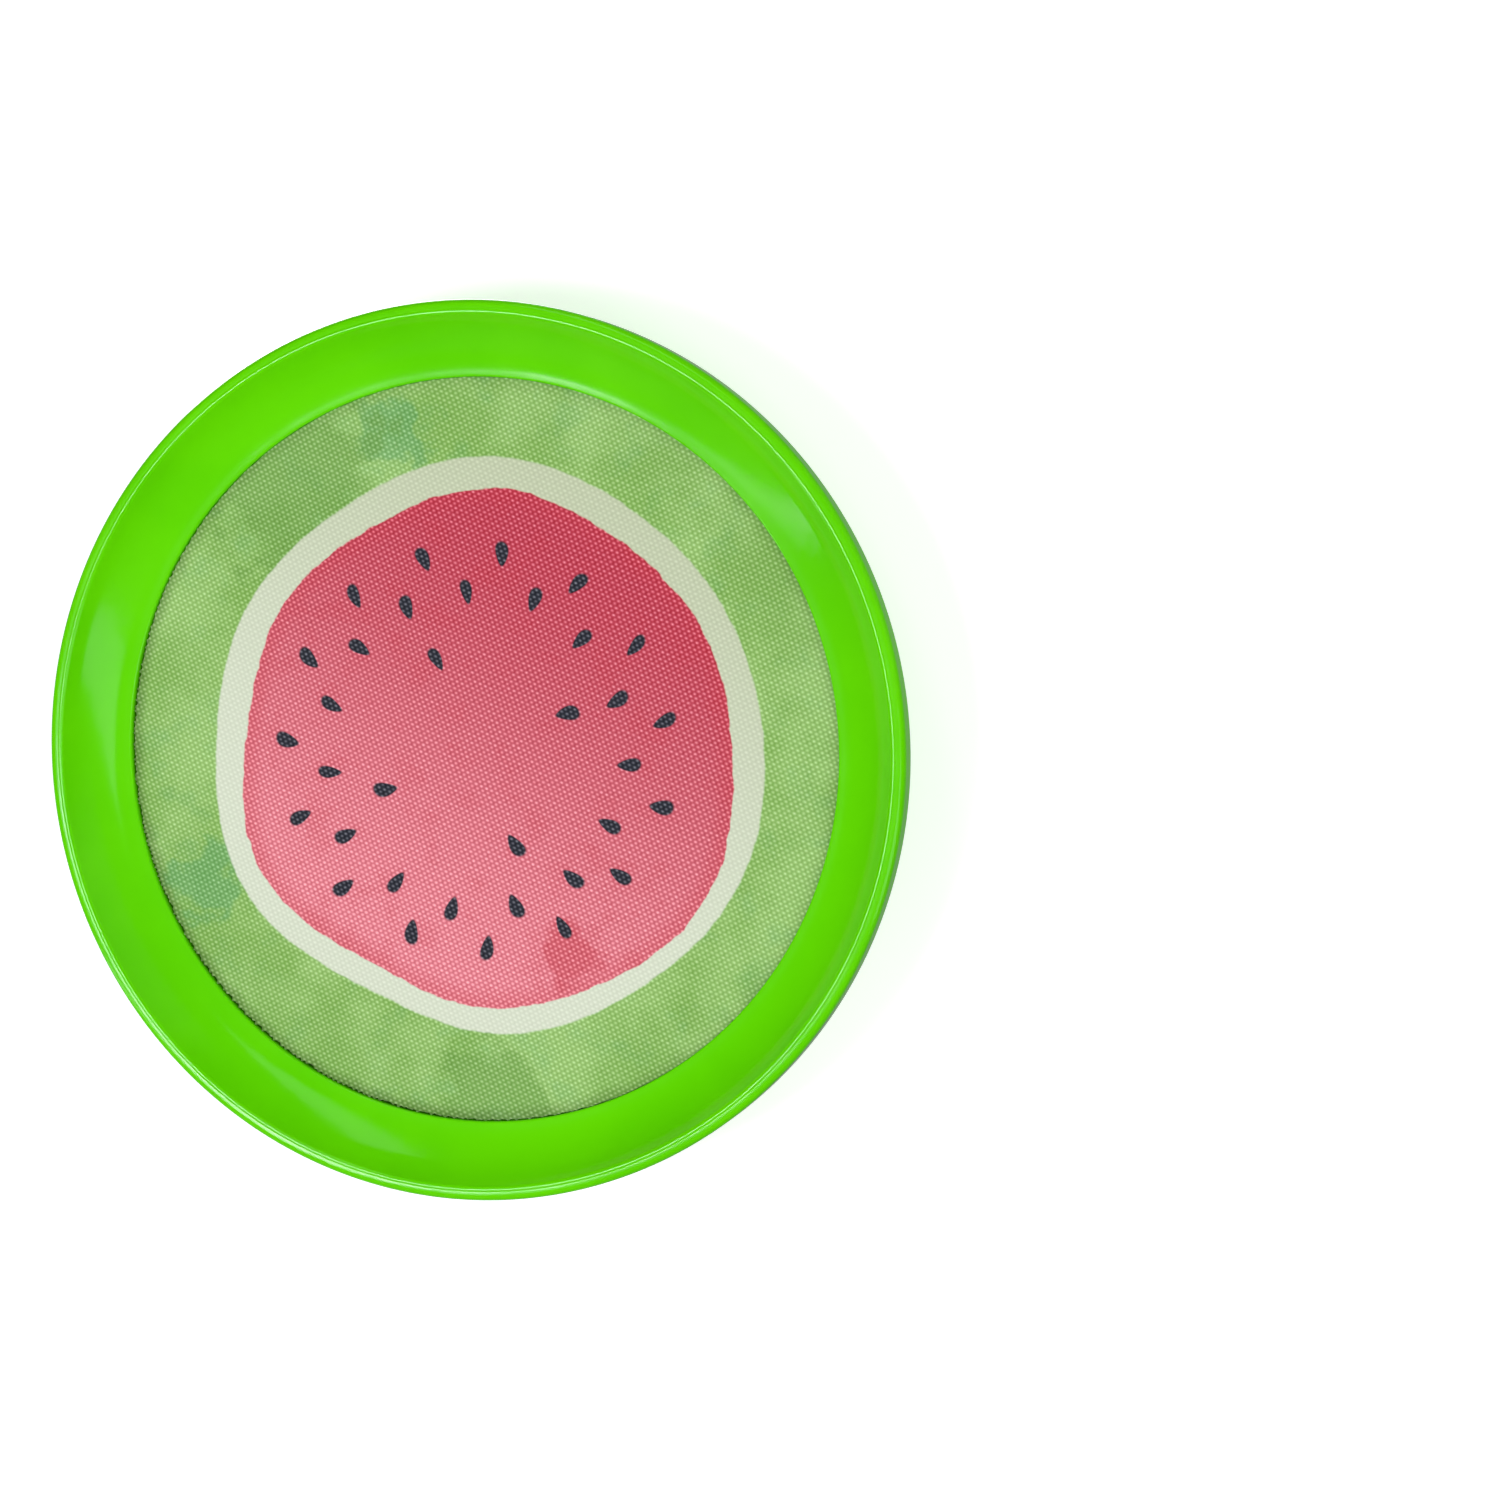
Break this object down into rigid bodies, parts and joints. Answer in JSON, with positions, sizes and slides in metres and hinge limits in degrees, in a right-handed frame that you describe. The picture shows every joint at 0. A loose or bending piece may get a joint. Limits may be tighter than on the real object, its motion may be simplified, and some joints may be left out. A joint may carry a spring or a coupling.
{
  "type": "hook and loop catch paddle",
  "caption": "Round moulded toy paddle with a printed fabric catching face sunk inside a sloping rim, and a hand strap with a slider behind.",
  "frame": {"origin": "on the dish's axis, at the lowest level of the strap", "axes": "+Z out of the printed face, +Y along the strap from the hook tape's slot to the slider"},
  "size_m": [0.18, 0.18, 0.0261],
  "materials": {
    "green_plastic": "gloss, moulded",
    "brown_board": "matt grey-brown board",
    "printed_fabric": "printed plain weave",
    "black_webbing": "ribbed woven webbing",
    "hook_tape": "nylon hooks on a woven tape",
    "loop_tape": "soft pile",
    "black_plastic": "satin, moulded"
  },
  "bodies": {
    "root": {"paddle_dish": "green_plastic", "backing_board": "brown_board", "printed_fabric": "printed_fabric", "webbing_loop": "black_webbing", "strap_slider": "black_plastic", "hook_tape_strap": "hook_tape", "loop_tape_tail": "loop_tape"}
  },
  "joints": []
}
